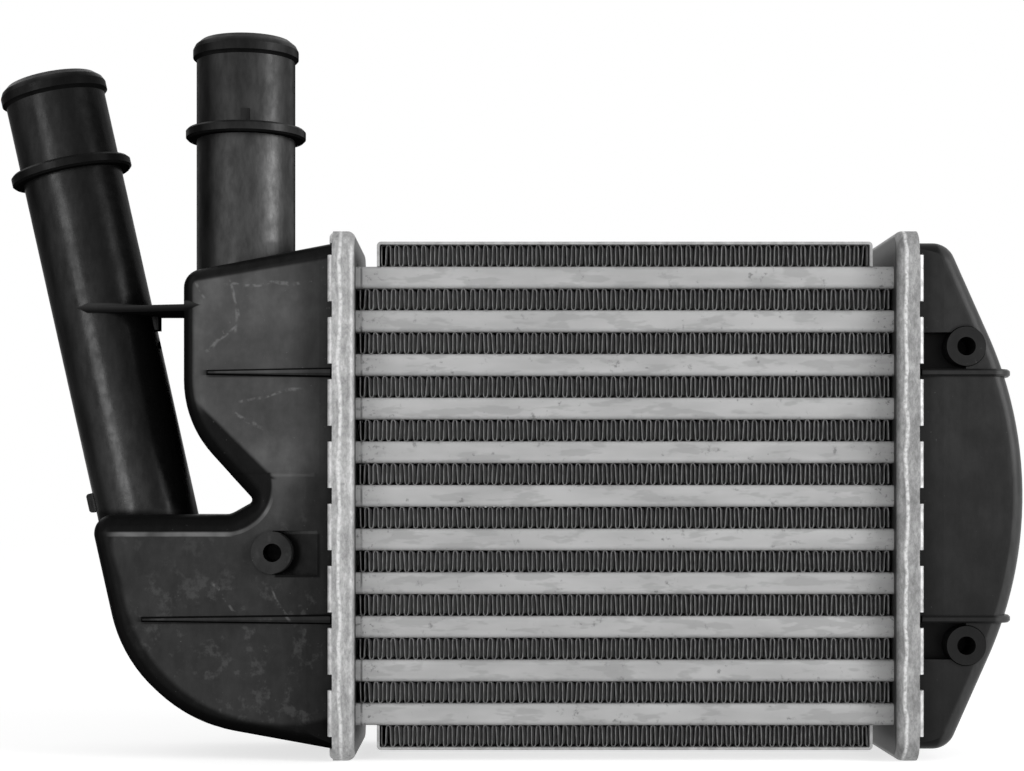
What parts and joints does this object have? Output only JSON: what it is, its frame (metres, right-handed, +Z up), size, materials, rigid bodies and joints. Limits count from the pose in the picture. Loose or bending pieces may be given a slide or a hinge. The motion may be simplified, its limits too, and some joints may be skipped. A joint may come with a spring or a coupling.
{
  "type": "intercooler",
  "caption": "Air-to-air charge cooler: brazed flat-tube and corrugated-fin core between crimped header plates and black moulded end tanks, both hose stubs on the left tank.",
  "frame": {"origin": "middle of the overall box, on the plane of the header plates' lower ends", "axes": "+X across the core from the stub tank to the return tank, -Y the front that carries the screw bosses, +Z up towards the mouths of the hose stubs"},
  "size_m": [0.3936, 0.074, 0.278],
  "materials": {
    "tube": "dull brazed sheet with a fine dust",
    "fin": "thin dusty folded sheet",
    "turbulator": "thin folded sheet",
    "side_plate": "dull brazed sheet",
    "header_plate": "drawn sheet, brighter on its bends",
    "tank": "black glass-filled moulding with dust and light scuffs",
    "gasket": "black rubber"
  },
  "bodies": {
    "root": {"fin_row_01": "fin", "fin_row_02": "fin", "fin_row_03": "fin", "fin_row_04": "fin", "fin_row_05": "fin", "fin_row_06": "fin", "fin_row_07": "fin", "fin_row_08": "fin", "fin_row_09": "fin", "fin_row_10": "fin", "fin_row_11": "fin", "fin_row_12": "fin", "gasket_left": "gasket", "gasket_right": "gasket", "header_plate_left": "header_plate", "header_plate_right": "header_plate", "return_tank": "tank", "side_plate_bottom": "side_plate", "side_plate_top": "side_plate", "stub_tank": "tank", "tube_01": "tube", "tube_02": "tube", "tube_03": "tube", "tube_04": "tube", "tube_05": "tube", "tube_06": "tube", "tube_07": "tube", "tube_08": "tube", "tube_09": "tube", "tube_10": "tube", "tube_11": "tube", "turbulator_01": "turbulator", "turbulator_02": "turbulator", "turbulator_03": "turbulator", "turbulator_04": "turbulator", "turbulator_05": "turbulator", "turbulator_06": "turbulator", "turbulator_07": "turbulator", "turbulator_08": "turbulator", "turbulator_09": "turbulator", "turbulator_10": "turbulator", "turbulator_11": "turbulator"}
  },
  "joints": []
}
